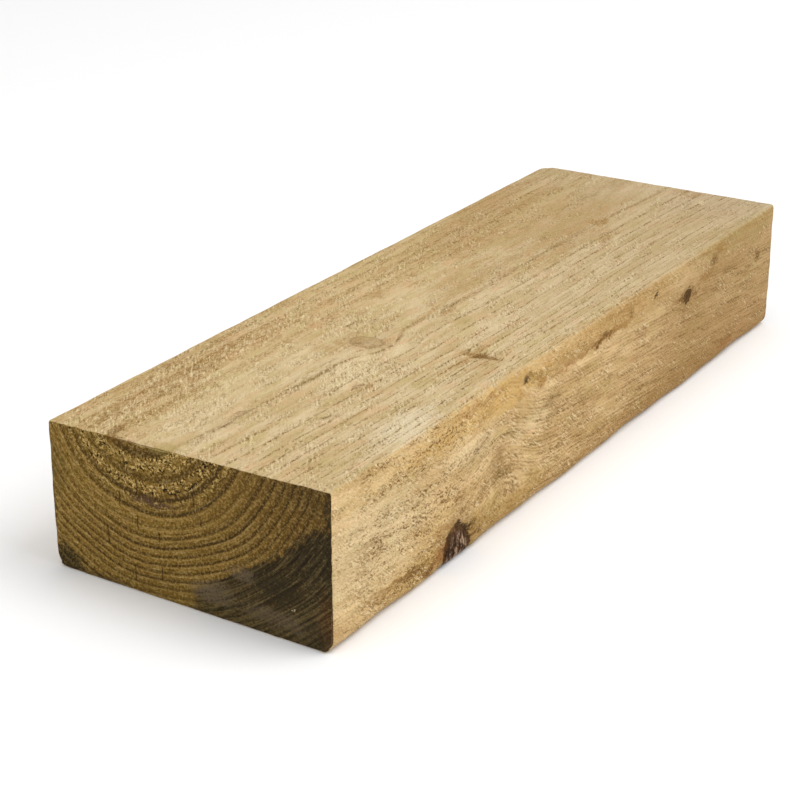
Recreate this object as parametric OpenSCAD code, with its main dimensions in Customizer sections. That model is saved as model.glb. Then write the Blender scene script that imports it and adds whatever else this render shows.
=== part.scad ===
// A short railway sleeper for landscaping: one length of sawn, pressure-treated softwood.
// It lies on its wide face. X runs along the grain, Y across the width and Z up.
// The origin is in the middle of the lower face. The knotty side faces -Y.

/* [Timber] */
// Length of the sleeper, along the grain
sleeper_length = 600; // [200:10:3000]
// Width of the sleeper, across its lower face
sleeper_width = 200; // [100:5:300]
// Depth of the sleeper, from its lower face to its upper face
sleeper_depth = 100; // [50:5:200]

/* [Long edges] */
// Radius worn on both lower long edges
lower_edge_radius = 8; // [1:0.5:20]
// Radius eased on the upper long edge of the knotty side
knotty_edge_radius = 3; // [1:0.5:20]
// Radius eased on the upper long edge of the plain side
plain_edge_radius = 2; // [1:0.5:20]

/* [Upright corners] */
// Radius in plan of the corner that has been knocked round
knocked_corner_radius = 16; // [1:1:45]
// Radius in plan of the other three corners, rubbed by handling
rubbed_corner_radius = 2; // [1:0.5:20]

/* [Hidden] */
timber_color = "burlywood";
// How far a cutting shape reaches past the timber, so that no faces coincide
cut_reach = 5;
$fn = 96;

// The sliver that a rounded corner takes off, with the square corner at the origin
module corner_waste(radius) {
    difference() {
        translate([-cut_reach, -cut_reach])
            square(radius + cut_reach);
        translate([radius, radius])
            circle(r = radius);
    }
}

// A rectangle from the origin, with the radius of each corner given anticlockwise
module rounded_outline(size, radii) {
    corners = [[0, 0], [size.x, 0], size, [0, size.y]];
    difference() {
        square(size);
        for (i = [0:len(corners) - 1])
            translate(corners[i])
                rotate(90 * i)
                    corner_waste(radii[i]);
    }
}

// The sawn section with its four long edges, swept along the grain
module sawn_section() {
    radii = [lower_edge_radius, lower_edge_radius, plain_edge_radius, knotty_edge_radius];
    translate([-sleeper_length / 2, -sleeper_width / 2, 0])
        rotate([90, 0, 90])
            linear_extrude(height = sleeper_length)
                rounded_outline([sleeper_width, sleeper_depth], radii);
}

// The plan with its four upright corners, through the depth
module sawn_plan() {
    radii = [rubbed_corner_radius, rubbed_corner_radius, knocked_corner_radius, rubbed_corner_radius];
    translate([-sleeper_length / 2, -sleeper_width / 2, 0])
        linear_extrude(height = sleeper_depth)
            rounded_outline([sleeper_length, sleeper_width], radii);
}

// The whole timber: the section and the plan together
module sleeper() {
    color(timber_color)
        intersection() {
            sawn_section();
            sawn_plan();
        }
}

sleeper();
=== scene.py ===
"""A short softwood railway sleeper: sawn flat, pressure treated, knotty and a little weathered."""

import math
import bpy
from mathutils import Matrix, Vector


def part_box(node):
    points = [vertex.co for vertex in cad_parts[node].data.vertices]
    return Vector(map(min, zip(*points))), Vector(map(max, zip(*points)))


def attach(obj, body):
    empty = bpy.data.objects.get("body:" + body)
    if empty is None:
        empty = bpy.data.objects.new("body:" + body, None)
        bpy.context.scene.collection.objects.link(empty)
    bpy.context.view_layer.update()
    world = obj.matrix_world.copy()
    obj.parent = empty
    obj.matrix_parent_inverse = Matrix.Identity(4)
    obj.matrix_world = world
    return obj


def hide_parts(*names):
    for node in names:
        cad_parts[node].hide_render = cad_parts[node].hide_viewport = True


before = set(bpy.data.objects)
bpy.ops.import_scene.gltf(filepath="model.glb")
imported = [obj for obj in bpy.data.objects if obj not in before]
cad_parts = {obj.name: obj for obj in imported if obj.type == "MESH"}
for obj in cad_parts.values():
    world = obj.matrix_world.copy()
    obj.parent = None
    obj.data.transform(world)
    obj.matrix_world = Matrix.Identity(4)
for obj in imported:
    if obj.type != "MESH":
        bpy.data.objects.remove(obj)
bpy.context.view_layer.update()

from types import SimpleNamespace

import bpy
import numpy as np
from mathutils import Vector

LOW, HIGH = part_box("sleeper")

# Everything about the timber is in millimetres, measured as on the bench: "along" from the stained
# end, "across" from the middle of the width towards the plain side, and "up" from the lower face.
MM = 0.001
LENGTH = (HIGH.x - LOW.x) / MM
WIDTH = (HIGH.y - LOW.y) / MM
DEPTH = (HIGH.z - LOW.z) / MM
KNOTTY_SIDE = -WIDTH / 2
PLAIN_SIDE = WIDTH / 2
LIMITS = ((0, LENGTH), (KNOTTY_SIDE, PLAIN_SIDE), (0, DEPTH))

# The heart of the tree ran outside the timber, above the upper face.
PITH_ACROSS = 34
PITH_UP = DEPTH + 27
# The tree grew wider on one side of its heart than on the other.
TIGHT_SIDE = 1.165
WIDE_SIDE = 0.92
# The radius of the first year's wood, how quickly the rings crowd together outwards, and how much
# of a year the pith stands for.
FIRST_RING = 38
RING_CROWDING = 2.1
PITH_YEARS = 0.15
# The tree grew slower for a while in middle age: at what radius, how far each way, and the years.
SLOW_RADIUS = 118
SLOW_REACH = 22
SLOW_YEARS = 0.8
# A branch swells the rings this many times its own radius away.
SWELLING_REACH = 2.2

# The radii of the worn edges, as the CAD part has them, and of the edges round the two ends.
LOWER_EDGE = 8
KNOTTY_EDGE = 3
PLAIN_EDGE = 2
RUBBED_CORNER = 2
KNOCKED_CORNER = 16
END_EDGE = 1.2
# Something heavy folded over the upper edge of the stained end: where, how far each way, how deep.
BRUISE_ACROSS = 24
BRUISE_REACH = 24
BRUISE_DEPTH = 2.4

# How deep the surface is worked: the summer wood that stands out on the ends, the soft wood torn
# out near the pith, how far in the saw's plane lies on the ends and on the long faces, the bark's
# groove round a knot, the cracks in it, and a drying check.
RING_RELIEF = 0.42
TORN_SPRING_WOOD = 0.5
END_SINKS = 0.5
LONG_SINKS = 0.3
KNOT_GROOVE = 0.8
KNOT_CRACKS = 0.9
CHECK_DEPTH = 0.3
# All of it stays this far inside the CAD part.
LEAST_SINKS = 0.02
# Two points this near are at the same place.
TOUCHING = 0.01
# Faces that meet more sharply than this, in degrees, show an edge.
SHARP_ANGLE = 50

# How far the sawn section has shrunk and twisted, at the upper corners.
SHRUNK_CORNERS = [
    # end (0 stained, 1 clean), side (0 knotty, 1 plain), how much lower in mm
    (0, 1, 5.0),
    (1, 1, 5.0),
    (1, 0, 3.0),
]


def branch(along, slope, size, starts=0.0, ragged=0.25, dark=0.5, swell=1.1):
    """A branch that the trunk grew round, square to the grain. Slope is in degrees below level
    towards the knotty side, size is its radius, and starts is how far from the pith it begins.
    A dark branch died early; a ragged one has bark round it; swell is how far it pushed the rings
    round it outwards, as a share of its size."""
    slope = math.radians(slope)
    way = (0.0, -math.cos(slope), -math.sin(slope))
    return SimpleNamespace(along=along, way=way, size=size, starts=starts, ragged=ragged, dark=dark,
                           swell=swell)


BRANCHES = {
    "big dead knot": branch(133, 42.6, 15.2, starts=90, ragged=0.6, dark=1.0, swell=0.9),
    "round knot on the upper face": branch(198, 49.0, 9.2, ragged=0.4, dark=0.15, swell=1.4),
    "spike knot": branch(214, 15.7, 2.8, starts=20, ragged=1.2, dark=0.45, swell=1.0),
    "small side knot": branch(448, 22.9, 5.5, starts=110, ragged=1.3, dark=0.9, swell=0.9),
    "plain side knot": branch(252, 138, 8.5, starts=64, ragged=0.3, dark=0.45),
    "plain side knot near the clean end": branch(505, 124, 6.0, starts=60, ragged=0.5, dark=0.7),
    "lower face knot": branch(360, 88, 8.5, starts=60, ragged=0.3, dark=0.5),
    "clean end knot": branch(572, 70, 7.0, starts=70, ragged=0.4, dark=0.6),
}

# Every colour of the timber, as a paint chart gives it.
TINTS = {
    # Stains and marks
    "brown": (150, 110, 54),
    "dark": (108, 74, 28),
    "near black": (54, 32, 8),
    "rust": (132, 72, 26),
    "gold": (208, 166, 94),
    "pale": (224, 204, 162),
    "pink": (196, 152, 106),
    "olive": (160, 140, 76),
    "plum": (88, 64, 48),
    "moss": (98, 84, 36),
    "mould": (44, 40, 22),
    "soot": (48, 40, 24),
    "ash": (118, 102, 80),
    "chalk": (222, 208, 176),
    # The sawn faces that run with the grain
    "dull upper wood": (193, 168, 122),
    "light upper wood": (209, 187, 147),
    "plain part wood": (197, 169, 119),
    "dull side wood": (197, 164, 111),
    "light side wood": (231, 199, 147),
    # The next is painted shade, for the far part of the sides and lower face.
    "far side painted shade": (176, 144, 98),
    "pinkish uptake": (210, 164, 122),
    "greenish uptake": (184, 168, 104),
    "darkened": (150, 122, 80),
    "bleached": (196, 184, 162),
    "streak": (160, 126, 76),
    "mottle": (150, 112, 56),
    "year band": (148, 114, 60),
    "grain line": (128, 96, 48),
    "grain thread": (132, 100, 52),
    "first ring": (124, 92, 46),
    "fleck": (116, 86, 40),
    "lit tuft": (236, 218, 176),
    "tuft shadow": (122, 92, 46),
    "lit fibre": (236, 214, 166),
    "fibre shadow": (134, 104, 56),
    "hole": (92, 64, 26),
    "pit": (114, 78, 30),
    # The sawn ends
    "dull end wood": (116, 87, 31),
    "light end wood": (158, 125, 54),
    "end cloud": (136, 100, 40),
    "light arc": (184, 156, 98),
    "bright arc": (214, 190, 136),
    "dark arc": (82, 62, 26),
    "spring wood": (176, 148, 90),
    "darker end wood": (94, 66, 23),
    "thin ring": (76, 54, 20),
    "summer wood": (76, 54, 18),
    "ring edge": (50, 34, 10),
    "golden tuft": (224, 190, 120),
    "torn pit": (34, 24, 6),
    # The mould on the stained end
    "dark mould": (42, 33, 16),
    "light mould": (106, 90, 56),
    "rusty mould": (66, 46, 22),
    # The next two are painted light: a highlight on the mould's ridges and shade in its furrows.
    "painted highlight on mould": (116, 100, 64),
    "painted shade on mould": (22, 16, 6),
    "mould fleck": (130, 116, 78),
    "mould pit": (20, 16, 6),
    "mouldy ring": (26, 18, 6),
    # The dead knot
    "rotten heart": (92, 58, 34),
    "dark heart": (46, 26, 14),
    "grey heart": (172, 146, 120),
    "bark": (24, 14, 6),
}
# Broad shades soaked into the timber. Each has its tint, its strength, its middle and its reach:
# along, across and up.
SHADES = [
    # The upper face
    ("brown", 0.6, (110, 78, 100), (150, 8, 12)),
    ("brown", 0.45, (90, 66, 100), (60, 6, 12)),
    ("brown", 0.4, (35, 54, 100), (60, 5, 12)),
    ("brown", 0.45, (110, 92, 100), (90, 6, 12)),
    ("pale", 0.45, (105, 32, 100), (95, 20, 12)),
    ("brown", 0.45, (430, 76, 100), (90, 9, 12)),
    ("brown", 0.4, (500, 90, 100), (80, 14, 12)),
    ("brown", 0.4, (520, 66, 100), (70, 8, 12)),
    ("brown", 0.4, (400, 48, 100), (60, 16, 12)),
    ("brown", 0.3, (480, 20, 100), (140, 40, 12)),
    ("olive", 0.5, (588, 84, 100), (22, 18, 14)),
    ("brown", 0.45, (440, 66, 100), (170, 5, 12)),
    ("pale", 0.7, (150, -14, 100), (38, 18, 12)),
    ("brown", 0.35, (340, 8, 100), (80, 26, 12)),
    ("chalk", 0.75, (98, -84, 100), (40, 18, 12)),
    ("brown", 0.35, (440, -10, 100), (60, 14, 12)),
    ("brown", 0.35, (575, -60, 100), (50, 50, 12)),
    # The knotty side
    ("gold", 0.75, (165, -100, 88), (100, 10, 13)),
    ("gold", 0.4, (60, -100, 84), (60, 10, 12)),
    ("gold", 0.28, (80, -100, 26), (110, 8, 30)),
    ("gold", 0.45, (330, -100, 90), (120, 10, 12)),
    ("brown", 0.45, (300, -100, 90), (80, 8, 14)),
    ("pale", 0.5, (150, -100, 66), (34, 8, 10)),
    ("pale", 0.4, (225, -100, 58), (40, 8, 9)),
    ("pale", 0.6, (40, -100, 50), (70, 8, 44)),
    ("gold", 0.6, (150, -100, 8), (120, 10, 16)),
    ("olive", 0.4, (150, -100, 8), (110, 10, 18)),
    ("brown", 0.35, (150, -100, 36), (30, 8, 12)),
    ("brown", 0.4, (184, -100, 42), (24, 8, 18)),
    ("brown", 0.5, (272, -100, 42), (46, 8, 24)),
    ("brown", 0.3, (450, -100, 58), (50, 8, 16)),
    ("brown", 0.4, (515, -100, 8), (60, 12, 16)),
    ("brown", 0.4, (300, -100, 8), (320, 12, 14)),
    ("brown", 0.55, (440, -100, 8), (200, 12, 18)),
    ("pink", 0.25, (400, -100, 44), (70, 8, 24)),
    ("brown", 0.35, (370, -100, 92), (60, 8, 12)),
    ("brown", 0.35, (480, -100, 30), (130, 12, 30)),
    ("pink", 0.5, (545, -100, 22), (60, 10, 20)),
    ("olive", 0.65, (540, -100, 93), (90, 10, 12)),
    ("brown", 0.4, (500, -100, 72), (90, 10, 14)),
]
# Marks. Each has its tint, its strength, its middle and its reach as above, and its depth in mm.
MARKS = [
    # The upper face, towards the plain side
    ("dark", 0.45, (25, 74, 100), (20, 3, 8), 0.1),
    ("dark", 0.45, (70, 66, 100), (16, 3, 8), 0.1),
    ("dark", 0.4, (110, 76, 100), (14, 5, 8), 0.2),
    ("rust", 0.3, (150, 84, 100), (26, 6, 8), 0.0),
    ("dark", 0.5, (8, 56, 100), (12, 5, 8), 0.2),
    ("dark", 0.7, (1, 50, 100), (3, 16, 8), 0.1),
    ("olive", 0.6, (3, 17, 100), (7, 12, 8), 0.0),
    # The upper face, round the round knot
    ("pink", 0.6, (207, 53, 100), (9, 8, 10), 0.0),
    ("dark", 0.6, (222, 34, 100), (8, 3, 10), 0.3),
    ("dark", 0.45, (232, 24, 100), (7, 3, 10), 0.3),
    ("dark", 0.6, (194, 10, 100), (3.5, 3.5, 10), 0.1),
    ("brown", 0.5, (188, 22, 100), (5, 6, 10), 0.0),
    ("brown", 0.55, (240, 40, 100), (12, 4, 10), 0.1),
    ("pale", 0.6, (176, -4, 100), (8, 6, 10), 0.0),
    ("pale", 0.5, (192, -17, 100), (20, 6, 10), 0.0),
    ("brown", 0.5, (176, 26, 100), (7, 12, 10), 0.0),
    ("brown", 0.5, (276, 50, 100), (18, 5, 10), 0.1),
    ("brown", 0.6, (272, -8, 100), (16, 5, 10), 0.1),
    ("olive", 0.45, (262, -24, 100), (12, 6, 10), 0.0),
    # The upper face, towards the knotty side
    ("dark", 0.65, (47, 5, 100), (7, 3, 8), 0.3),
    ("dark", 0.5, (66, 7, 100), (12, 2.5, 8), 0.2),
    ("dark", 0.5, (140, 8, 100), (36, 1.6, 8), 0.2),
    ("dark", 0.7, (86, -38, 100), (7, 1.6, 8), 0.3),
    ("dark", 0.5, (132, -28, 100), (9, 2.5, 8), 0.2),
    ("dark", 0.45, (137, -41, 100), (7, 2.0, 8), 0.2),
    ("brown", 0.6, (214, -62, 100), (5, 18, 8), 0.1),
    ("dark", 0.8, (214, -66, 100), (4.5, 7, 8), 0.2),
    ("brown", 0.55, (225, -61, 100), (9, 4, 8), 0.1),
    ("brown", 0.5, (201, -62, 100), (12, 4, 8), 0.1),
    ("brown", 0.4, (196, -72, 100), (22, 6, 8), 0.2),
    ("brown", 0.7, (492, -6, 100), (10, 10, 10), 0.0),
    ("brown", 0.45, (462, -28, 100), (14, 6, 10), 0.0),
    ("pale", 0.4, (465, -33, 100), (14, 5, 10), 0.0),
    ("dark", 0.45, (440, -6, 100), (26, 2, 8), 0.2),
    ("pale", 0.6, (572, -48, 100), (12, 3, 8), 0.0),
    ("brown", 0.4, (590, -34, 100), (12, 16, 10), 0.0),
    # The knotty side
    ("rust", 0.45, (283, -100, 80), (36, 8, 2.5), 0.1),
    ("rust", 0.35, (160, -100, 93), (40, 8, 2.0), 0.0),
    ("near black", 0.75, (215, -100, 89.5), (4.6, 6, 3.6), 1.0),
    ("dark", 0.45, (221, -100, 90.5), (6, 8, 2.6), 0.4),
    ("dark", 0.45, (229, -100, 87), (7, 8, 2.4), 0.3),
    ("brown", 0.8, (234, -100, 80), (7, 8, 7), 0.1),
    ("brown", 0.45, (208, -100, 80), (6, 8, 7), 0.0),
    ("near black", 0.8, (154, -100, 66), (4, 5, 0.9), 0.6),
    ("near black", 0.7, (157, -100, 63), (4, 5, 0.9), 0.6),
    ("rust", 0.5, (102, -100, 9), (10, 8, 5), 0.2),
    ("dark", 0.75, (101, -100, 9), (8, 8, 3), 0.2),
    ("dark", 0.8, (78, -100, 15), (24, 8, 3), 0.2),
    ("brown", 0.5, (50, -100, 16), (34, 8, 4), 0.0),
    ("dark", 0.35, (180, -100, 46), (10, 8, 14), 0.1),
    ("dark", 0.35, (190, -100, 36), (12, 8, 5), 0.1),
    ("dark", 0.45, (248, -100, 62), (16, 8, 4), 0.2),
    ("rust", 0.55, (114, -100, 14), (9, 8, 8), 0.1),
    ("dark", 0.85, (155, -100, 9), (9, 8, 2.0), 0.4),
    ("near black", 0.9, (149, -100, 18), (6, 8, 3.4), 0.5),
    ("dark", 0.9, (46, -100, 38), (3, 6, 1.4), 0.5),
    ("dark", 0.6, (44, -100, 51), (2.4, 6, 1.4), 0.4),
    ("brown", 0.6, (120, -100, 27), (16, 8, 5), 0.1),
    ("brown", 0.8, (315, -100, 82), (26, 8, 5), 0.1),
    ("dark", 0.9, (312, -100, 81), (12, 8, 3.0), 0.2),
    ("dark", 0.9, (326, -100, 83), (10, 8, 3.0), 0.2),
    ("brown", 0.75, (345, -100, 82), (20, 8, 3.5), 0.1),
    ("dark", 0.6, (359, -100, 87), (7, 8, 3.0), 0.2),
    ("near black", 0.95, (396, -100, 88.5), (4.5, 6, 1.8), 0.8),
    ("near black", 0.6, (447, -100, 71), (6, 8, 4.5), 0.3),
    ("dark", 0.85, (440, -100, 72), (9, 8, 2.6), 0.2),
    ("dark", 0.7, (461, -100, 70), (9, 8, 3.5), 0.1),
    ("dark", 0.75, (493, -100, 84), (7, 8, 6), 0.2),
    ("brown", 0.65, (503, -100, 91), (12, 8, 5), 0.1),
    ("brown", 0.7, (481, -100, 76), (16, 8, 4), 0.0),
    ("dark", 0.8, (573, -100, 65), (5, 6, 7), 0.1),
    ("rust", 0.45, (521, -100, 11), (14, 8, 4), 0.0),
]
# Marks on the stained end only.
END_MARKS = [
    ("mould", 0.9, (0, 92, 6), (6, 15, 11), 0.1),
    ("mould", 0.55, (0, 68, 0), (6, 42, 5), 0.1),
    ("mould", 0.6, (0, 100, 60), (6, 1.6, 60), 0.0),
    ("moss", 0.3, (0, 95, 66), (6, 9, 20), 0.0),
    ("moss", 0.2, (0, 10, 7), (6, 48, 11), 0.0),
    ("soot", 0.8, (0, -100, 76), (6, 6, 38), 0.0),
    ("soot", 0.45, (0, -84, 56), (6, 16, 22), 0.0),
    ("soot", 0.8, (0, -62, 31), (6, 18, 12), 0.0),
    ("soot", 0.3, (0, -88, 94), (6, 26, 16), 0.0),
    ("soot", 0.45, (0, -97, 8), (6, 20, 14), 0.0),
    ("rust", 0.15, (0, -97, 20), (6, 8, 18), 0.0),
    # Streaks of resin
    ("plum", 0.95, (0, 24, 62), (6, 20, 3.2), 0.0),
    ("plum", 0.35, (0, -8, 60), (6, 8, 1.4), 0.0),
    # Mould that has dried grey, and a fleck of white wood
    ("ash", 0.55, (0, -40, 33), (6, 11, 6), 0.0),
    ("ash", 0.6, (0, -16, 16), (6, 18, 9), 0.0),
    ("ash", 0.4, (0, -60, 12), (6, 26, 7), 0.0),
    ("pale", 1.0, (0, -75, 22), (6, 0.7, 0.7), 0.0),
]
# Hairline drying checks in the stained end. Each has its place across and up, and its length.
CHECKS = [
    (35, 68, 14),
    (35.5, 46, 11),
    (48, 58, 11),
    (-6, 72, 12),
    (-11, 57.5, 6),
    (58, 32, 14),
    (19, 17, 11),
    (39, 12, 12),
    (20, 40, 8),
]


# Where the saw tore the upper face most. Each patch has its middle, along and across, and its reach.
TORN_PATCHES = [
    (226, 32, 22, 16),
    (152, -22, 32, 16),
    (120, 74, 60, 12),
    (30, 60, 40, 14),
    (455, -30, 26, 12),
]


class Arrays:
    """Ordinary sums on arrays of numbers, for moving the points of a mesh."""

    root = staticmethod(np.sqrt)
    sine = staticmethod(np.sin)
    fade = staticmethod(np.exp)

    @staticmethod
    def above(value, limit):
        return (value > limit) * 1.0


# A Mix node has a set of sockets for each kind of value. These are the ones for colours.
MIX_AMOUNT, MIX_FIRST, MIX_SECOND = 0, 6, 7
MIX_RESULT = 2


class Nodes:
    """Builds a material's nodes. Sums on what its methods return add their own Math nodes."""

    def __init__(self, name):
        self.material = bpy.data.materials.new(name)
        self.material.use_nodes = True
        self.tree = self.material.node_tree
        self.tree.nodes.clear()

    def add(self, kind, settings=None, inputs=None, output=0):
        """Adds a node, with its settings first and then its sockets, and returns one of its outputs."""
        node = self.tree.nodes.new(kind)
        for name, value in (settings or {}).items():
            setattr(node, name, value)
        for name, value in (inputs or {}).items():
            socket = node.inputs[name]
            if isinstance(value, Value):
                self.tree.links.new(value.socket, socket)
            else:
                socket.default_value = value
        return Value(self, node.outputs[output]) if node.outputs else None

    def sum(self, operation, *values):
        return self.add("ShaderNodeMath", {"operation": operation}, dict(enumerate(values)))

    def root(self, value):
        return self.sum("SQRT", value)

    def sine(self, value):
        return self.sum("SINE", value)

    def fade(self, value):
        return self.sum("EXPONENT", value)

    def above(self, value, limit):
        return self.sum("GREATER_THAN", value, limit)

    def between(self, value, low, high):
        """0 where value is under low and 1 where it's over high, with a smooth step between."""
        return self.add(
            "ShaderNodeMapRange", {"interpolation_type": "SMOOTHSTEP", "clamp": False},
            {"Value": value, "From Min": low, "From Max": high},
        )

    def vector(self, x, y, z):
        return self.add("ShaderNodeCombineXYZ", None, {"X": x, "Y": y, "Z": z})

    def vector_sum(self, operation, *values, output=0):
        return self.add("ShaderNodeVectorMath", {"operation": operation}, dict(enumerate(values)), output)

    def parts(self, whole, kind="ShaderNodeSeparateXYZ"):
        """The three parts of a vector, or of a colour with the node for that."""
        first = self.add(kind, None, {0: whole})
        return [Value(self, socket) for socket in first.socket.node.outputs]

    def noise(self, place, scale=1.0, detail=2.0, roughness=0.5, output=0):
        return self.add(
            "ShaderNodeTexNoise", None,
            {"Vector": place, "Scale": scale, "Detail": detail, "Roughness": roughness}, output,
        )

    def mix(self, amount, first, second):
        """The first colour, or more of the second one as amount nears 1."""
        return self.add(
            "ShaderNodeMix", {"data_type": "RGBA"},
            {MIX_AMOUNT: amount, MIX_FIRST: first, MIX_SECOND: second}, MIX_RESULT,
        )


class Value:
    """What a shader socket gives, wrapped so that ordinary sums work on it."""

    def __init__(self, nodes, socket):
        self.nodes = nodes
        self.socket = socket

    def __add__(self, other):
        return self.nodes.sum("ADD", self, other)

    def __sub__(self, other):
        return self.nodes.sum("SUBTRACT", self, other)

    def __rsub__(self, other):
        return self.nodes.sum("SUBTRACT", other, self)

    def __mul__(self, other):
        return self.nodes.sum("MULTIPLY", self, other)

    def __truediv__(self, other):
        return self.nodes.sum("DIVIDE", self, other)

    def __rtruediv__(self, other):
        return self.nodes.sum("DIVIDE", other, self)

    def __pow__(self, other):
        return self.nodes.sum("POWER", self, other)

    def __neg__(self):
        return self * -1

    def __abs__(self):
        return self.nodes.sum("ABSOLUTE", self)

    def __mod__(self, other):
        return self.nodes.sum("FLOORED_MODULO", self, other)

    __radd__ = __add__
    __rmul__ = __mul__


def color(red, green, blue):
    """A colour as a paint chart gives it, from 0 to 255, as the light it sends back."""
    def light(part):
        part /= 255
        return part / 12.92 if part <= 0.04045 else ((part + 0.055) / 1.055) ** 2.4
    return (light(red), light(green), light(blue), 1.0)


# --- How the tree grew. These sums serve both the mesh and the material. ---


def branch_distances(along, across, up, sums):
    """For each branch, how far a point is from its middle line, and how far out from the pith."""
    found = []
    for limb in BRANCHES.values():
        offset = (along - limb.along, across - PITH_ACROSS, up - PITH_UP)
        out = offset[0] * limb.way[0] + offset[1] * limb.way[1] + offset[2] * limb.way[2]
        aside = [part - out * step for part, step in zip(offset, limb.way)]
        found.append((limb, sums.root(aside[0] ** 2 + aside[1] ** 2 + aside[2] ** 2), out))
    return found


def ring_radius(along, across, up, distances, sums):
    """How far from the pith a point's ring runs where no branch swells it and the trunk is round."""
    # The pith wanders sideways and sinks along the trunk, and each ring is a little out of round.
    wander = sums.sine(along / 95) * 2.0 + sums.sine(along / 41) * 0.8
    aside = across - PITH_ACROSS + wander + along * 0.008
    below = PITH_UP - up - along * 0.03 + sums.sine(along / 120) * 1.5
    stretch = WIDE_SIDE + sums.above(aside, 0) * (TIGHT_SIDE - WIDE_SIDE)
    radius = sums.root((aside * stretch) ** 2 + below ** 2)
    radius = radius + sums.sine(across / 11 + up / 17 + along / 60) * 0.6
    radius = radius + sums.sine(across / 23 - up / 9 + along / 37) * 0.4
    for limb, distance, out in distances:
        swollen = sums.fade(-((distance / (limb.size * SWELLING_REACH)) ** 2))
        grown = 1 / (1 + sums.fade((limb.starts - out) / 8))
        radius = radius - swollen * grown * (limb.size * limb.swell)
    return radius


def years(radius, sums):
    """The count of growth rings inside a radius."""
    slow_spell = sums.fade(-(((radius - SLOW_RADIUS) / SLOW_REACH) ** 2)) * SLOW_YEARS
    return (radius / FIRST_RING) ** RING_CROWDING + slow_spell - PITH_YEARS


# --- The mesh ---


def graded(start, stretches):
    """Places from a start through each stretch in turn. A stretch is its end and its even steps."""
    places = [start]
    for end, steps in stretches:
        places.extend(np.linspace(places[-1], end, steps + 1)[1:])
    return np.array(places)


def sawn_blank():
    """The square-sawn blank: a grid for each side, joined. It's finer at its edges and towards the
    stained end."""
    margin = 3
    # Where the grids' lines lie along, across and up
    places = [
        graded(0, [(margin, 3), (250, 103), (420, 47), (LENGTH - margin, 36), (LENGTH, 3)]),
        graded(KNOTTY_SIDE, [(KNOTTY_SIDE + margin, 3), (PLAIN_SIDE - margin, 102), (PLAIN_SIDE, 3)]),
        graded(0, [(DEPTH - margin, 51), (DEPTH, 3)]),
    ]
    steps = [len(line) - 1 for line in places]
    size = HIGH - LOW
    quarter = math.radians(90)
    sides = []
    # The axis that each pair of sides faces, the axes that run right and up on them, and their turn
    for facing, right, up, turn in (
        (2, 0, 1, (0, 0, 0)),
        (1, 0, 2, (quarter, 0, 0)),
        (0, 2, 1, (0, quarter, 0)),
    ):
        for level in (LOW, HIGH):
            middle = (LOW + HIGH) / 2
            middle[facing] = level[facing]
            bpy.ops.object.select_all(action="DESELECT")
            bpy.ops.mesh.primitive_grid_add(
                x_subdivisions=steps[right], y_subdivisions=steps[up], size=1, calc_uvs=False,
                location=middle, rotation=turn,
            )
            bpy.context.object.scale = (size[right], size[up], 1)
            bpy.ops.object.transform_apply(location=True, rotation=True, scale=True)
            sides.append(bpy.context.object)
    for side in sides:
        side.select_set(True)
    bpy.ops.object.join()
    blank = bpy.context.object
    blank.name = blank.data.name = "sleeper_timber"
    bpy.ops.object.mode_set(mode="EDIT")
    bpy.ops.mesh.select_all(action="SELECT")
    bpy.ops.mesh.remove_doubles(threshold=0.1 * MM)
    bpy.ops.mesh.normals_make_consistent(inside=False)
    bpy.ops.object.mode_set(mode="OBJECT")
    points = points_of(blank.data)
    for axis, (start, end) in enumerate(LIMITS):
        step = np.rint((points[:, axis] - start) / (end - start) * steps[axis])
        points[:, axis] = places[axis][step.astype(int)]
    put_points(blank.data, points)
    # The stained end has the finest detail, so its faces are cut again, except along its edges.
    mesh = blank.data
    middles = np.empty(len(mesh.polygons) * 3)
    mesh.polygons.foreach_get("center", middles)
    along, across, up = (middles.reshape(-1, 3) - np.array(LOW)).T / MM
    on_end = (along < TOUCHING) & (np.abs(across - WIDTH / 2) < WIDTH / 2 - margin)
    on_end = on_end & (up > margin) & (up < DEPTH - margin)
    mesh.vertices.foreach_set("select", np.zeros(len(mesh.vertices), dtype=bool))
    mesh.edges.foreach_set("select", np.zeros(len(mesh.edges), dtype=bool))
    mesh.polygons.foreach_set("select", on_end)
    bpy.ops.object.mode_set(mode="EDIT")
    bpy.ops.mesh.select_mode(type="FACE")
    bpy.ops.mesh.subdivide(number_cuts=1)
    bpy.ops.object.mode_set(mode="OBJECT")
    return blank


def points_of(mesh):
    """The mesh's points as bench measures: along, across and up, in mm."""
    points = np.empty(len(mesh.vertices) * 3)
    mesh.vertices.foreach_get("co", points)
    points = points.reshape(-1, 3) / MM
    points[:, 0] -= LOW.x / MM
    return points


def put_points(mesh, points):
    moved = points.copy()
    moved[:, 0] += LOW.x / MM
    mesh.vertices.foreach_set("co", (moved * MM).ravel())
    mesh.update()


def round_edge(points, first, second, radius):
    """Rounds a square edge. first and second are each an axis and which side of the block, 0 or 1."""
    inward = []
    for axis, side in (first, second):
        away = points[:, axis] - LIMITS[axis][0] if side == 0 else LIMITS[axis][1] - points[:, axis]
        inward.append(radius - away)
    a, b = inward
    inside = (a > 0) & (b > 0)
    squeeze = np.where(inside, np.maximum(a, b) / np.maximum(np.hypot(a, b), 1e-9), 1)
    for (axis, side), part in zip((first, second), inward):
        moved = radius - part * squeeze
        place = LIMITS[axis][0] + moved if side == 0 else LIMITS[axis][1] - moved
        points[:, axis] = np.where(inside, place, points[:, axis])


def uneven(value, *waves):
    """A smooth unevenness about 0, made of a few waves: each is its length, its height and a start."""
    return sum(height * np.sin(value * 2 * math.pi / length + start) for length, height, start in waves)


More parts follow.
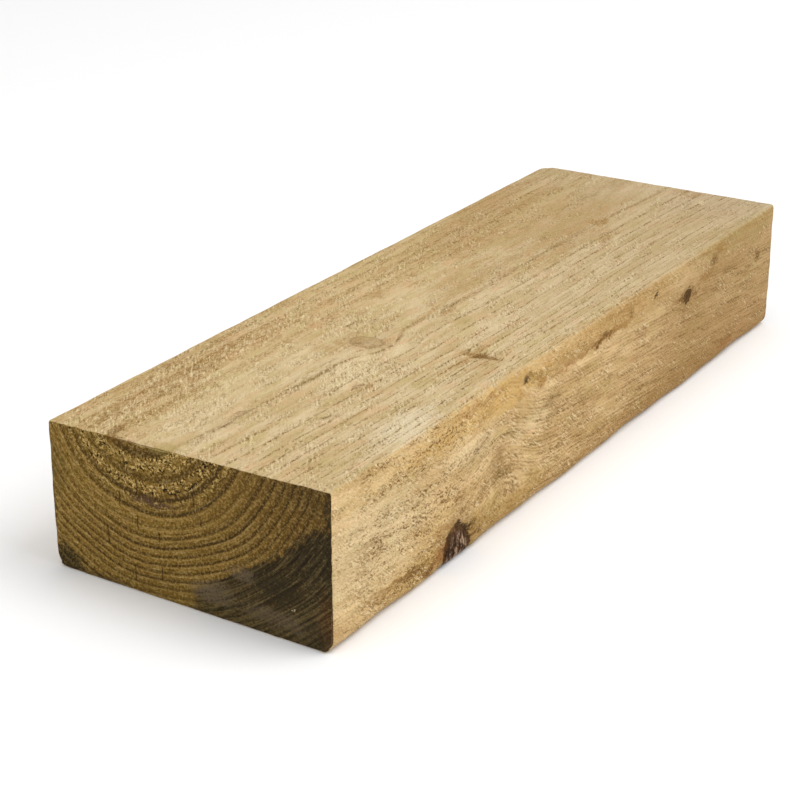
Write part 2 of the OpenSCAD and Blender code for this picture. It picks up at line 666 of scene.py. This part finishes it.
def ripple(places, start):
    """A smooth random unevenness from -1 to 1, over places counted in ripples. It never changes."""
    # Every corner between ripples gets a height of its own, scrambled from its place.
    cells = np.floor(places).astype(np.int64)
    part = places - cells
    part = part * part * (3 - 2 * part)
    total = np.zeros(len(places))
    for corner in np.ndindex(2, 2, 2):
        near = cells + corner
        mixed = near[:, 0] * 73856093 ^ near[:, 1] * 19349663 ^ near[:, 2] * 83492791 ^ start * 7919
        mixed = (mixed ^ (mixed >> 13)) * 1274126177
        height = ((mixed >> 7) & 0xFFFF) / 0x8000 - 1
        share = np.where(corner, part, 1 - part).prod(axis=1)
        total += height * share
    return total


def ease_edges(points):
    along, across, up = points.T.copy()
    lower = LOWER_EDGE + uneven(along, (170, 1.2, 0.4), (61, 0.7, 2.0))
    # The upper knotty edge is worn round, but less so near the stained end.
    worn = 0.3 + 0.7 * np.clip((along - 5) / 60, 0, 1)
    knotty = (KNOTTY_EDGE + uneven(along, (140, 0.7, 1.0), (47, 0.6, 0.2), (23, 0.4, 1.4))) * worn
    plain = PLAIN_EDGE + uneven(along, (90, 0.3, 0.0), (31, 0.2, 2.2))
    upright = RUBBED_CORNER + uneven(up, (70, 0.5, 0.5), (19, 0.3, 0))
    # The corner between the stained end and the knotty side is rounder towards its foot.
    knotty_corner = upright * 0.6 + 1.8 * (1 - up / DEPTH)
    end_across = END_EDGE + uneven(across, (43, 0.3, 1), (17, 0.25, 2))
    # The bruise left its fibres ragged.
    ragged = np.abs(ripple(np.stack([across / 2.5, across * 0, across * 0], axis=1), 3))
    folded = np.exp(-(((across - BRUISE_ACROSS) / BRUISE_REACH) ** 2)) * (BRUISE_DEPTH + ragged)
    round_edge(points, (0, 1), (1, 1), KNOCKED_CORNER)
    round_edge(points, (0, 0), (1, 0), knotty_corner)
    round_edge(points, (0, 0), (1, 1), upright)
    round_edge(points, (0, 1), (1, 0), upright)
    round_edge(points, (1, 0), (2, 0), lower)
    round_edge(points, (1, 1), (2, 0), lower)
    round_edge(points, (1, 0), (2, 1), knotty)
    round_edge(points, (1, 1), (2, 1), plain)
    for end in (0, 1):
        for level in (0, 1):
            bruise = folded if (end, level) == (0, 1) else 0
            round_edge(points, (0, end), (2, level), end_across + bruise)


def shrink_section(points):
    """Lowers the upper face at the corners that shrank, and less towards the other corners."""
    along = points[:, 0] / LENGTH
    across = (points[:, 1] - KNOTTY_SIDE) / WIDTH
    up = points[:, 2] / DEPTH
    for end, side, drop in SHRUNK_CORNERS:
        near_end = along if end else 1 - along
        near_side = across if side else 1 - across
        points[:, 2] -= drop * near_end * near_side * up


def lay_out_map(mesh, points, normals):
    """Lays the six sawn sides flat on the map, in rows with a gap between them."""
    gap = 6
    last_row = 5 * gap + 2 * WIDTH + 2 * DEPTH
    rows = [
        # left and bottom on the sheet in mm, and the two axes that run right and up
        (gap, last_row, 1, 2),  # the stained end
        (2 * gap + WIDTH, last_row, 1, 2),  # the clean end
        (gap, 3 * gap + 2 * WIDTH, 0, 2),  # the knotty side
        (gap, 4 * gap + 2 * WIDTH + DEPTH, 0, 2),  # the plain side
        (gap, 2 * gap + WIDTH, 0, 1),  # the lower face
        (gap, gap, 0, 1),  # the upper face
    ]
    sheet = last_row + DEPTH + gap
    start = np.array([0, KNOTTY_SIDE, 0])
    layout = mesh.uv_layers.new(name="OFBake")
    corner_point = np.empty(len(mesh.loops), dtype=int)
    mesh.loops.foreach_get("vertex_index", corner_point)
    sizes = np.empty(len(mesh.polygons), dtype=int)
    mesh.polygons.foreach_get("loop_total", sizes)
    side = np.repeat(np.abs(normals).argmax(axis=1) * 2 + (normals.sum(axis=1) > 0), sizes)
    places = np.zeros((len(mesh.loops), 2))
    for index, (left, bottom, right_axis, up_axis) in enumerate(rows):
        here = side == index
        spot = (points - start)[corner_point[here]]
        places[here, 0] = (left + spot[:, right_axis]) / sheet
        places[here, 1] = (bottom + spot[:, up_axis]) / sheet
    layout.uv.foreach_set("vector", places.ravel())


def carve_relief(points, normals):
    """Sinks and raises the surface: rings on the ends, knots, pits and hollows. Normals are the
    outward ones of the blank's flat sides."""
    along, across, up = points.T.copy()
    distances = branch_distances(along, across, up, Arrays)
    radius = ring_radius(along, across, up, distances, Arrays)
    phase = years(radius, Arrays) % 1.0
    late = np.exp(-((phase - 0.8) / 0.2) ** 2)
    end_face = np.abs(normals[:, 0]) > 0.5

    def ripples(length, width, start):
        return ripple(np.stack([along / length, across / width, up / width], axis=1), start)

    # The edges stay straight, so the relief calms down towards them.
    starts, ends = np.array(LIMITS).T
    to_sides = np.minimum(np.abs(points - starts), np.abs(ends - points))
    calm = 0.25 + 0.75 * np.clip(np.sort(to_sides, axis=1)[:, 1] / 9, 0, 1)
    # The spring wood is soft, and sinks below the summer wood on the ends.
    soft = np.clip((74 - radius) / 14, 0, 1) * (1 - late)
    on_end = 0.14 * ripples(2.2, 2.2, 1) - RING_RELIEF * late
    on_end = on_end + TORN_SPRING_WOOD * soft * np.abs(ripples(2.6, 2.6, 2))
    on_end = END_SINKS + calm * on_end
    # The long faces have furrows along the grain, and stretches where the saw tore the wood.
    torn = np.clip(ripples(24, 8, 4) * 2, 0, 1)
    on_long = 0.14 * ripples(15, 4, 5) + (0.08 + 0.14 * torn) * ripples(7, 4, 6) - 0.1 * late
    on_long = LONG_SINKS + calm * on_long
    for limb, distance, out in distances:
        ratio = distance / limb.size
        grown = (out > limb.starts) * limb.dark
        rim = np.exp(-(((ratio - 1) / 0.14) ** 2))
        body = 0.5 - 0.5 * np.tanh((ratio - 0.9) * 7)
        cracks = np.abs(ripples(4, 4, 7))
        on_long = on_long + grown * (rim * KNOT_GROOVE + body * cracks * KNOT_CRACKS)
    inwards = np.where(end_face, on_end, on_long)
    for _, _, middle, reach, depth in MARKS + END_MARKS:
        away = (((points - middle) / reach) ** 2).sum(axis=1)
        inwards = inwards + depth * np.exp(-1.6 * away)
    for check_across, check_up, length in CHECKS:
        away = ((across - check_across) / 0.7) ** 2 + ((up - check_up) / (length / 2)) ** 4
        inwards = inwards + CHECK_DEPTH * (along < 1) * np.exp(-away)
    return points - normals * np.maximum(inwards, LEAST_SINKS)[:, None]


def timber_mesh():
    blank = sawn_blank()
    mesh = blank.data
    points = points_of(mesh)
    face_normals = np.empty(len(mesh.polygons) * 3)
    mesh.polygons.foreach_get("normal", face_normals)
    lay_out_map(mesh, points, face_normals.reshape(-1, 3))
    flat = np.zeros_like(points)
    for axis, (start, end) in enumerate(LIMITS):
        place = points[:, axis]
        flat[:, axis] = (place > end - TOUCHING) * 1.0 - (place < start + TOUCHING) * 1.0
    flat /= np.linalg.norm(flat, axis=1)[:, None]
    ease_edges(points)
    points = carve_relief(points, flat)
    shrink_section(points)
    put_points(mesh, points)
    bpy.ops.object.select_all(action="DESELECT")
    blank.select_set(True)
    bpy.context.view_layer.objects.active = blank
    bpy.ops.object.shade_smooth_by_angle(angle=math.radians(SHARP_ANGLE))
    return blank


# --- The material ---


# How deep the finest torn fibres are, in mm, and how strongly the light picks them out.
FIBRE_DEPTH = 0.7
FIBRE_STRENGTH = 0.7
# How far in mm a stain's outline wanders, and the shares of its reach where it starts to weaken
# and where it ends.
STAIN_WANDER = 16
STAIN_WEAKENS = 0.4
STAIN_ENDS = 1.15


def tint(name):
    return color(*TINTS[name])


def blend_tints(first, second, share):
    """A colour part of the way from one named tint to another."""
    return color(*(a + (b - a) * share for a, b in zip(TINTS[first], TINTS[second])))


def soak(n, at, wood, broken, name, strength, middle, reach):
    """Tints the wood round a place, more weakly towards the tattered edge of its reach."""
    offset = n.vector_sum("SUBTRACT", at.wobbly, middle)
    away = n.vector_sum("LENGTH", n.vector_sum("DIVIDE", offset, reach), output="Value")
    amount = (1 - n.between(away + at.tatters, STAIN_WEAKENS, STAIN_ENDS)) * broken * strength
    return n.mix(amount, wood, tint(name))


def survey(n):
    """Where a point is on the bench, which way its surface faces, and how far it lies from each branch."""
    place = n.add("ShaderNodeTexCoord", None, None, "Object")
    place = n.vector_sum("MULTIPLY_ADD", place, [1 / MM] * 3, (-LOW.x / MM, 0, 0))
    along, across, up = n.parts(place)
    # Textures read the parts put together again. This lets the renderer work everything out in the
    # order of this script, and so keep few results at a time.
    place = n.vector(along, across, up)
    facing = n.add("ShaderNodeNewGeometry", None, None, "Normal")
    facing_along, facing_across, facing_up = n.parts(facing)
    end = n.between(abs(facing_along), 0.5, 0.8)
    top = n.between(facing_up, 0.45, 0.85)
    knotty = n.between(-facing_across, 0.45, 0.85)
    clump = n.noise(place, scale=0.16, detail=3, roughness=0.6)
    grit = n.noise(place, scale=0.95, detail=2, roughness=0.65)
    wobble = n.noise(place, scale=0.11, detail=4, roughness=0.68, output="Color")
    shifts = [(part - 0.5) * STAIN_WANDER for part in n.parts(wobble, "ShaderNodeSeparateColor")]
    wobbly = n.vector(along + shifts[0], across + shifts[1], up + shifts[2])
    # The saw left the grain on the knotty side running out downwards, and it arches past the big knot.
    arch = n.fade(-(((along - 188) / 32) ** 2)) * n.between(up, 8, 34) * knotty * 13
    climb = up + along * knotty * 0.09 - arch
    tatters = n.noise(n.vector(along / 7, across / 1.9, climb / 1.9), detail=3, roughness=0.65)
    return SimpleNamespace(
        place=place, wobbly=wobbly, along=along, across=across, up=up, climb=climb, arch=arch,
        end=end, top=top, knotty=knotty, facing_along=facing_along, clump=clump, grit=grit,
        tatters=(tatters - 0.5) * 1.7, distances=branch_distances(along, across, up, n),
    )


def grain(n, at, length, width, start=0.0, detail=3, roughness=0.6):
    """A pattern whose marks are this long and this wide in mm, and run with the grain."""
    place = n.vector(at.along / length + start, at.across / width, at.climb / width)
    return n.noise(place, detail=detail, roughness=roughness)


def leaning_fibres(n, at, length, width):
    """Torn fibres, which stand up and lean one way over the sawn faces."""
    lean = math.radians(38)
    slant = at.across - at.up
    forwards = at.along * math.cos(lean) + slant * math.sin(lean)
    sideways = slant * math.cos(lean) - at.along * math.sin(lean)
    return n.noise(n.vector(forwards / length, sideways / width, at.along / 60), detail=2, roughness=0.6)


def long_grain(n, at):
    """The sawn faces that run with the grain. Gives their colour and their height."""
    serration = grain(n, at, 2.2, 1.3, 2.0, detail=2) - 0.5
    drift = grain(n, at, 70, 9, 4.0) - 0.5
    radius = ring_radius(at.along, at.across, at.up, at.distances, n)
    radius = radius + serration * 2.6 + drift * (5 + at.knotty * 4) + at.arch * 0.53
    radius = radius - at.along * at.knotty * 0.025
    count = years(radius, n)
    phase = count % 1.0
    half_phase = (count * 2) % 1.0
    band = n.between(phase, 0.35, 0.85) * (1 - n.between(phase, 0.96, 1.0))
    line = n.between(phase, 0.76, 0.88) * (1 - n.between(phase, 0.93, 1.0))
    fine_line = n.between(half_phase, 0.6, 0.8) * (1 - n.between(half_phase, 0.88, 1.0))
    # The first ring after the heart shows as one dark line along the middle of the upper face.
    first_line = n.between(count, 0.78, 0.83) * (1 - n.between(count, 0.87, 0.93)) * at.top
    first_line = first_line * (1 - n.between(at.across, 16, 30)) * n.between(at.along, -60, 115)
    first_line = first_line * (1 - n.between(at.along, 218, 250) * 0.65)
    plain_part = n.between(at.across + (at.clump - 0.5) * 60, 18, 55)
    far_part = n.between(at.along, 230, 480)

    blotch = grain(n, at, 60, 11, 0.0, detail=4)
    streak = grain(n, at, 34, 2.6, 3.0)
    mottle = grain(n, at, 30, 6, 6.0, detail=4, roughness=0.7)
    dash = grain(n, at, 16, 3.5, 5.0)
    fleck = grain(n, at, 2.6, 1.2, 7.0)
    tufts = leaning_fibres(n, at, 6.0, 1.25)
    fibres = leaning_fibres(n, at, 2.4, 0.75)
    # Some stretches were torn by the saw, and others cut clean.
    torn = grain(n, at, 26, 9, 9.0) + plain_part * 0.04 - far_part * 0.03
    for middle_along, middle_across, long, wide in TORN_PATCHES:
        away = ((at.along - middle_along) / long) ** 2 + ((at.across - middle_across) / wide) ** 2
        torn = torn + n.fade(-away) * at.top * 0.22
    torn = n.between(torn, 0.45, 0.62)
    # The saw's teeth left a fine slanting ladder across the lines of the grain.
    teeth = n.sine((at.along + (at.across - at.up) * 0.6) * 2.5 + (at.grit - 0.5) * 9) * 0.5 + 0.5
    # The knotty side is full of little pits next to the stained end.
    pitted_part = (1 - n.between(at.along + (at.clump - 0.5) * 90, 115, 200)) * at.knotty
    pit = grain(n, at, 2.4, 1.4, 13.0, detail=2, roughness=0.7)
    # Past the pits, its grain shows as fine threads close together.
    threads = n.sine((at.climb + drift * 7 + serration * 1.2) * 2.6) * 0.5 + 0.5

    top_wood = n.mix(n.between(blotch, 0.38, 0.62), tint("dull upper wood"), tint("light upper wood"))
    top_wood = n.mix(plain_part * 0.5, top_wood, tint("plain part wood"))
    side_wood = n.mix(n.between(blotch, 0.36, 0.64), tint("dull side wood"), tint("light side wood"))
    # Painted shade: the sides and lower face darken towards the clean end, standing in for light falling
    # off along the length.
    side_wood = n.mix(n.between(at.along, 230, 560) * 0.6, side_wood, tint("far side painted shade"))
    wood = n.mix(at.top, side_wood, top_wood)
    # The treatment took unevenly, so some patches lean to pink and others to green.
    uptake = grain(n, at, 24, 9, 15.0)
    wood = n.mix(n.between(uptake, 0.52, 0.66) * 0.3, wood, tint("pinkish uptake"))
    wood = n.mix(n.between(uptake, 0.48, 0.34) * 0.3, wood, tint("greenish uptake"))
    speckled = n.between(fleck, 0.44, 0.6)
    for shade in SHADES:
        wood = soak(n, at, wood, 0.6 + speckled * 0.6, *shade)
    # Darker towards the clean end, and near the lower face.
    darkened = n.between(at.along, 280, 520) * 0.26 + (1 - n.between(at.up, 2, 24)) * 0.11
    wood = n.mix(darkened, wood, tint("darkened"))
    greyed = n.between(at.along, 220, 330) * (1 - n.between(at.across, -50, 0)) * 0.12
    greyed = greyed + n.between(at.along, 500, 600) * 0.22
    wood = n.mix(greyed * at.top, wood, tint("bleached"))
    streaky = n.between(streak, 0.5, 0.72) * (0.3 + at.knotty * far_part * 0.35)
    wood = n.mix(streaky, wood, tint("streak"))
    mottled = n.between(mottle, 0.5, 0.64) * (0.15 + plain_part * 0.35 + pitted_part * 0.25)
    wood = n.mix(mottled * (0.5 + speckled * 0.6), wood, tint("mottle"))
    wood = n.mix(band * (0.1 + plain_part * 0.3) * (0.15 + speckled * 1.2), wood, tint("year band"))
    # Lines, threads and flecks of dark wood
    steep = 1 - n.between(at.across, -30, 12) * 0.6
    gold_band = at.knotty * n.between(at.up, 66, 78)
    by_spike = ((at.along - 194) / 38) ** 2 + ((at.across + 68) / 13) ** 2
    dashes = n.between(dash, 0.36, 0.58) * (0.4 + n.between(tufts, 0.58, 0.44) * 0.8)
    lines = (line * 0.9 + fine_line * 0.6) * steep * dashes * (0.4 + teeth * 0.8)
    lines = lines * (1 - pitted_part * 0.4) * (1 - gold_band * 0.8)
    threads = threads * (0.25 + dashes) * (1 - gold_band * 0.5) * at.knotty * (1 - pitted_part * 0.6)
    lines = lines * (1 + n.fade(-by_spike) * 0.8)
    wood = n.mix(lines * 0.5, wood, tint("grain line"))
    wood = n.mix(threads * 0.34, wood, tint("grain thread"))
    wood = n.mix(first_line * (0.2 + dashes * 0.8) * (0.5 + teeth * 0.5) * 0.75, wood, tint("first ring"))
    flecked = n.between(fleck, 0.56, 0.68) * (0.3 + torn * 0.7)
    wood = n.mix(flecked * 0.6, wood, tint("fleck"))
    # Fibres that catch the light, and the gaps behind them
    rough = (0.05 + torn * 0.85) * (1 - far_part * 0.3) * (1 - at.top * 0.15)
    wood = n.mix(n.between(tufts, 0.54, 0.68) * rough * 0.75, wood, tint("lit tuft"))
    wood = n.mix(n.between(tufts, 0.46, 0.32) * rough * 0.7, wood, tint("tuft shadow"))
    glint = 0.06 + rough * 0.35 + pitted_part * 0.42
    wood = n.mix(n.between(fibres, 0.55, 0.68) * glint, wood, tint("lit fibre"))
    wood = n.mix(n.between(fibres, 0.45, 0.33) * glint * 0.85, wood, tint("fibre shadow"))
    holes = n.between(at.grit, 0.58, 0.66) * 0.35 * (0.3 + torn * 0.7)
    pits = n.between(pit, 0.54, 0.62) * pitted_part * n.between(mottle, 0.40, 0.56)
    pits = pits * n.between(at.along, 5, 50)
    wood = n.mix(holes * 0.85, wood, tint("hole"))
    wood = n.mix(pits * 0.85, wood, tint("pit"))
    height = tufts * 0.6 + fibres * 0.4 - flecked * 0.4 - lines * 0.4 - holes * 0.8 - pits * 0.6
    height = height - threads * 0.3
    return wood, height


def end_grain(n, at):
    """The sawn ends, with the rings cut across. Gives their colour and their height."""
    fray = n.noise(at.place, scale=0.6, detail=2) - 0.5
    radius = ring_radius(at.along, at.across, at.up, at.distances, n)
    count = years(radius + fray * 0.9, n)
    phase = count % 1.0
    half_phase = (count * 2) % 1.0
    year = count - phase
    luck = n.add("ShaderNodeTexWhiteNoise", {"noise_dimensions": "1D"}, {"W": year})
    young = 1 - n.between(radius, 46, 66)
    late = n.between(phase, 0.34, 0.78) * (1 - n.between(phase, 0.84, 0.98))
    crisp = n.between(phase, 0.6, 0.76) * (1 - n.between(phase, 0.84, 0.92))
    early = n.between(phase, 0.0, 0.06) * (1 - n.between(phase, 0.1, 0.3))
    between_rings = n.between(half_phase, 0.62, 0.78) * (1 - n.between(half_phase, 0.84, 0.94))
    torn = n.noise(at.place, scale=0.62, detail=2, roughness=0.75)
    cloud = n.noise(at.place, scale=0.05, detail=3)
    around = n.noise(n.vector(radius / 1.1, (at.across * 0.8 + at.up) / 7, 3.0), detail=3, roughness=0.65)

    wood = n.mix(n.between(at.grit, 0.36, 0.64), tint("dull end wood"), tint("light end wood"))
    wood = n.mix(n.between(cloud, 0.4, 0.65) * 0.45, wood, tint("end cloud"))
    wood = n.mix(n.between(around, 0.52, 0.66) * 0.65, wood, tint("light arc"))
    wood = n.mix(n.between(around + (at.grit - 0.5) * 0.5, 0.64, 0.74) * 0.6, wood, tint("bright arc"))
    wood = n.mix(n.between(around, 0.48, 0.34) * 0.5, wood, tint("dark arc"))
    wood = n.mix(early * 0.35, wood, tint("spring wood"))
    # Darker towards the knotty side, and a little towards the upper edge.
    wood = n.mix(n.between(-at.across + at.up * 0.3, -10, 120) * 0.72, wood, tint("darker end wood"))
    faint = 1 - n.between(at.across, 35, 85) * n.between(at.up, 20, 50) * 0.5
    wood = n.mix(between_rings * (1 - young) * luck * 0.55, wood, tint("thin ring"))
    wood = n.mix(late * (0.3 + luck * 0.4 + young * 0.3) * faint, wood, tint("summer wood"))
    wood = n.mix(crisp * (0.2 + luck * 0.4) * (1 - young * 0.5) * faint, wood, tint("ring edge"))
    # Near the pith the saw tore the soft spring wood out in golden tufts and dark pits.
    soft = (1 - n.between(radius, 60, 74)) * (1 - late) * n.between(at.clump, 0.4, 0.56)
    wood = n.mix(n.between(torn, 0.52, 0.6) * (soft * 0.8 + 0.2), wood, tint("golden tuft"))
    wood = n.mix(n.between(torn, 0.47, 0.4) * (soft * 0.85 + 0.3), wood, tint("torn pit"))
    # Damp from the ground soaked in and mould followed, as far as one ring.
    stained_end = n.between(-at.facing_along, 0.4, 0.7)
    bend = (at.across + 37) / 40
    uneven_edge = (at.clump - 0.5) * 11 + (at.grit - 0.5) * 5
    damp = n.between(radius + uneven_edge - bend ** 2 * 8, 110.5, 114.5)
    damp = damp * n.between(-at.across + uneven_edge, -2, 10) * stained_end
    smear = n.noise(n.vector(radius / 2.0, (at.across * 0.8 + at.up) / 3.4, 0.0), detail=4, roughness=0.75)
    mould = n.mix(n.between(smear + (30 - at.up) / 500, 0.4, 0.66), tint("dark mould"), tint("light mould"))
    mould = n.mix(n.between(at.clump, 0.5, 0.66) * 0.55, mould, tint("rusty mould"))
    # Painted light on the mould: a painted highlight on ridges and painted shade in furrows that follow the
    # rings. Neither the mesh nor the bump has these furrows.
    furrow = n.noise(n.vector(radius / 1.2, (at.across * 0.8 + at.up) / 9, 6.0), detail=2, roughness=0.6)
    mould = n.mix(n.between(furrow, 0.52, 0.64) * 0.5, mould, tint("painted highlight on mould"))
    mould = n.mix(n.between(furrow, 0.48, 0.36) * 0.55, mould, tint("painted shade on mould"))
    mould = n.mix(n.between(torn, 0.57, 0.66) * 0.35, mould, tint("mould fleck"))
    mould = n.mix(n.between(torn, 0.45, 0.38) * 0.45, mould, tint("mould pit"))
    wood = n.mix(damp * 0.92, wood, mould)
    wood = n.mix(late * damp * 0.4, wood, tint("mouldy ring"))
    broken = 0.5 + n.between(at.grit, 0.38, 0.58) * 0.6
    for *mark, _ in END_MARKS:
        wood = soak(n, at, wood, broken * stained_end, *mark)
    for check_across, check_up, length in CHECKS:
        aside = abs(at.across - check_across) + (at.grit - 0.5) * 0.8
        inside = 1 - n.between(abs(at.up - check_up), length * 0.3, length * 0.55)
        check = (1 - n.between(aside, 0.25, 0.8)) * inside * stained_end
        wood = n.mix(check * 0.75, wood, tint("near black"))
    height = late * 0.5 + at.grit * 0.4 + n.between(torn, 0.4, 0.6) * (0.3 + soft * 0.7)
    return wood, height


def add_knots(n, at, wood):
    patches = n.noise(n.vector(at.along / 2.6, at.across / 3.4, at.up / 7), detail=3, roughness=0.7)
    crumbs = n.noise(at.place, scale=0.5, detail=2, roughness=0.7)
    for limb, distance, out in at.distances:
        edge = (at.clump - 0.5) * 1.1 + (crumbs - 0.5) * 0.5 + at.tatters * 0.35
        ratio = distance / limb.size + edge * limb.ragged
        grown = n.between(out, limb.starts, limb.starts + 3)
        halo = (1 - n.between(ratio, 0.95, 1.9)) * grown
        body = (1 - n.between(ratio, 0.8, 1.0)) * grown
        rim = n.between(ratio, 0.8, 0.92) * (1 - n.between(ratio, 0.98, 1.1)) * grown
        swirl = n.sine(ratio * 9 + at.clump * 16 + at.along * 0.3) * 0.5 + 0.5
        heart = n.mix(swirl, blend_tints("brown", "near black", limb.dark * 0.85),
                      blend_tints("pale", "dark", 0.3 + limb.dark * 0.7))
        pith = 1 - n.between(ratio, 0.12, 0.42)
        heart = n.mix(pith * 0.7, heart, blend_tints("dark", "near black", limb.dark))
        if limb.dark == 1:
            # This one is half rotten: grey wood in its heart, and black bark round it.
            heart = n.mix(crumbs, tint("rotten heart"), tint("dark heart"))
            grey = n.between(patches, 0.48, 0.58) * n.between(ratio, 0.85, 0.5)
            heart = n.mix(grey * 0.9, heart, tint("grey heart"))
            heart = n.mix(n.between(patches, 0.46, 0.38), heart, tint("bark"))
        wood = n.mix(halo * (0.15 + limb.dark * 0.2), wood, blend_tints("brown", "dark", limb.dark))
        wood = n.mix(body * (0.32 + limb.dark * 0.65), wood, heart)
        wood = n.mix(rim * (0.24 + limb.dark * 0.66), wood, blend_tints("dark", "near black", limb.dark))
    return wood


def add_marks(n, at, wood):
    broken = 0.35 + n.between(at.grit, 0.38, 0.58) * 0.8
    for *mark, _ in MARKS:
        wood = soak(n, at, wood, broken, *mark)
    return wood


def timber_material():
    """Sawn softwood right through: rings, knots and stains are placed in the solid timber."""
    n = Nodes("treated_softwood")
    at = survey(n)
    long_wood, long_height = long_grain(n, at)
    end_wood, end_height = end_grain(n, at)
    long_wood = add_knots(n, at, long_wood)
    wood = n.mix(at.end, long_wood, end_wood)
    wood = add_marks(n, at, wood)
    height = long_height + at.end * (end_height - long_height)
    roughness = 0.84 - n.between(at.grit, 0.4, 0.7) * 0.12
    bump = n.add(
        "ShaderNodeBump", None,
        {"Strength": FIBRE_STRENGTH, "Distance": FIBRE_DEPTH * MM, "Height": height},
    )
    shader = n.add(
        "ShaderNodeBsdfPrincipled", None,
        {"Base Color": wood, "Roughness": roughness, "Normal": bump, "Specular IOR Level": 0.1},
    )
    n.add("ShaderNodeOutputMaterial", None, {"Surface": shader})
    return n.material


# --- The studio ---


def studio():
    floor_size = 60
    bpy.ops.object.select_all(action="DESELECT")
    bpy.ops.mesh.primitive_plane_add(size=floor_size, location=(0, 0, LOW.z))
    floor = bpy.context.object
    floor.name = "studio_floor"
    paper = bpy.data.materials.new("pale_paper")
    paper.use_nodes = True
    shader = paper.node_tree.nodes["Principled BSDF"]
    shader.inputs["Base Color"].default_value = (0.94, 0.94, 0.94, 1)
    shader.inputs["Roughness"].default_value = 0.9
    floor.data.materials.append(paper)
    middle = (LOW + HIGH) / 2
    for name, azimuth, elevation, distance, size, power in (
        ("key", 20, 50, 6.0, 5.0, 224),
        ("fill", -100, 35, 3.0, 2.5, 11),
        ("top", 0, 88, 6.0, 6.0, 149),
    ):
        light = bpy.data.lights.new(name, "AREA")
        light.shape = "DISK"
        light.size = size
        light.energy = power
        lamp = bpy.data.objects.new(name, light)
        bpy.context.scene.collection.objects.link(lamp)
        lamp.location = middle + direction(azimuth, elevation) * distance
        lamp.rotation_euler = direction(azimuth, elevation).to_track_quat("Z", "Y").to_euler()
    world = bpy.data.worlds.new("soft_room")
    world.use_nodes = True
    world.node_tree.nodes["Background"].inputs["Color"].default_value = (1, 1, 1, 1)
    world.node_tree.nodes["Background"].inputs["Strength"].default_value = 0.385
    bpy.context.scene.world = world
    bpy.context.scene.view_settings.view_transform = "Standard"


def direction(azimuth, elevation):
    """The way from the subject to something at an azimuth, 0 being in front, and an elevation."""
    azimuth, elevation = math.radians(azimuth), math.radians(elevation)
    return Vector((
        math.sin(azimuth) * math.cos(elevation),
        -math.cos(azimuth) * math.cos(elevation),
        math.sin(elevation),
    ))


def camera():
    azimuth, elevation, distance = -57.51, 23.47, 1.3833
    aim = (LOW + HIGH) / 2 + Vector((-0.0303, 0.0280, -0.0243))
    data = bpy.data.cameras.new("camera")
    data.lens = 91.56
    data.sensor_width = 36
    eye = bpy.data.objects.new("camera", data)
    bpy.context.scene.collection.objects.link(eye)
    eye.location = aim + direction(azimuth, elevation) * distance
    eye.rotation_euler = direction(azimuth, elevation).to_track_quat("Z", "Y").to_euler()
    bpy.context.scene.camera = eye


camera()
studio()
timber = timber_mesh()
timber.data.materials.append(timber_material())
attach(timber, "root")
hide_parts("sleeper")
